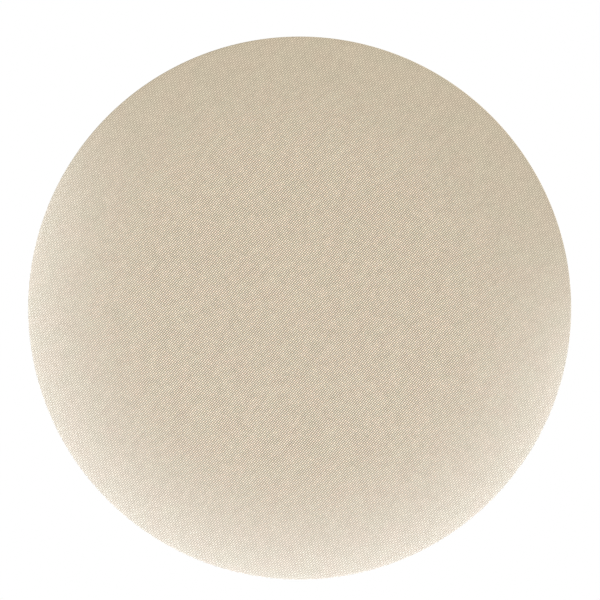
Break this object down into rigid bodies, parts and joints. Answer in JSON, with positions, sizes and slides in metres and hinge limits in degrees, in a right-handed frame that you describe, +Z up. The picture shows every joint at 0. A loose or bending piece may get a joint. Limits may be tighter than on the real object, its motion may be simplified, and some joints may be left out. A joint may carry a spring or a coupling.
{
  "type": "collapsible backdrop panel",
  "caption": "Round sprung pop-up backdrop disc with a padded linen face turned over the rim, a zip-off cloth cover and a hanging tab with an eyelet.",
  "frame": {"origin": "the disc's centre, in the middle plane of its spring hoop", "axes": "+Z up as it hangs, the face towards -Y, the back towards +Y"},
  "size_m": [0.6, 0.0271, 0.5998],
  "materials": {
    "face_linen": "plain-weave natural linen",
    "back_cotton": "plain unbleached cotton",
    "spring_steel": "blued spring steel",
    "plated_steel": "zinc-plated",
    "rivet_aluminium": "satin",
    "boot_rubber": "shrink sleeve",
    "sleeve_tape": "folded polyester tape",
    "membrane": "taut polyester taffeta",
    "liner": "brushed wadding",
    "thread": "polyester thread",
    "zip_tape": "woven zip tape",
    "zip_teeth": "moulded acetal",
    "zip_metal": "enamelled zinc",
    "webbing": "cotton webbing",
    "eyelet_brass": "aged brass",
    "label_satin": "blank woven satin"
  },
  "bodies": {
    "upper_half": {"spring_band_upper": "spring_steel", "band_sleeve_upper": "sleeve_tape", "core_membrane_upper": "membrane", "sleeve_stitching_upper": "thread", "liner_upper": "liner", "face_cloth_upper": "face_linen", "back_cloth_upper": "back_cotton", "seam_stitching_upper": "thread", "splice_ferrule": "plated_steel", "splice_rivets": "rivet_aluminium", "splice_boot": "boot_rubber", "hanging_tab": "webbing", "tab_stitching": "thread", "eyelet_barrel": "eyelet_brass", "eyelet_washer": "eyelet_brass", "care_label": "label_satin"},
    "lower_half": {"spring_band_lower": "spring_steel", "band_sleeve_lower": "sleeve_tape", "core_membrane_lower": "membrane", "sleeve_stitching_lower": "thread", "liner_lower": "liner", "face_cloth_lower": "face_linen", "back_cloth_lower": "back_cotton", "seam_stitching_lower": "thread", "zip_tape_inner": "zip_tape", "zip_tape_outer": "zip_tape", "zip_teeth_inner": "zip_teeth", "zip_teeth_outer": "zip_teeth", "zip_top_stops": "zip_metal", "zip_bottom_stop": "zip_metal", "zip_end_patches": "zip_tape", "zip_stitching": "thread"},
    "slider": {"zip_slider": "zip_metal"},
    "pull": {"zip_pull": "zip_metal"}
  },
  "joints": [
    {"name": "fold_in_half", "type": "hinge", "parent": "upper_half", "child": "lower_half", "pos_m": [0, -0.0168, 0], "axis": [-1, 0, 0], "range_deg": [0, 150], "stiffness_Nm_per_rad": 0.8, "springref_deg": -57.3},
    {"name": "zip_travel", "type": "hinge", "parent": "lower_half", "child": "slider", "pos_m": [0, 0, 0], "axis": [0, 1, 0], "range_deg": [0, 115]},
    {"name": "zip_pull_swing", "type": "hinge", "parent": "slider", "child": "pull", "pos_m": [0.22265, 0.0081, -0.14185], "axis": [0.8434, 0, -0.5373], "range_deg": [0, 170]}
  ]
}
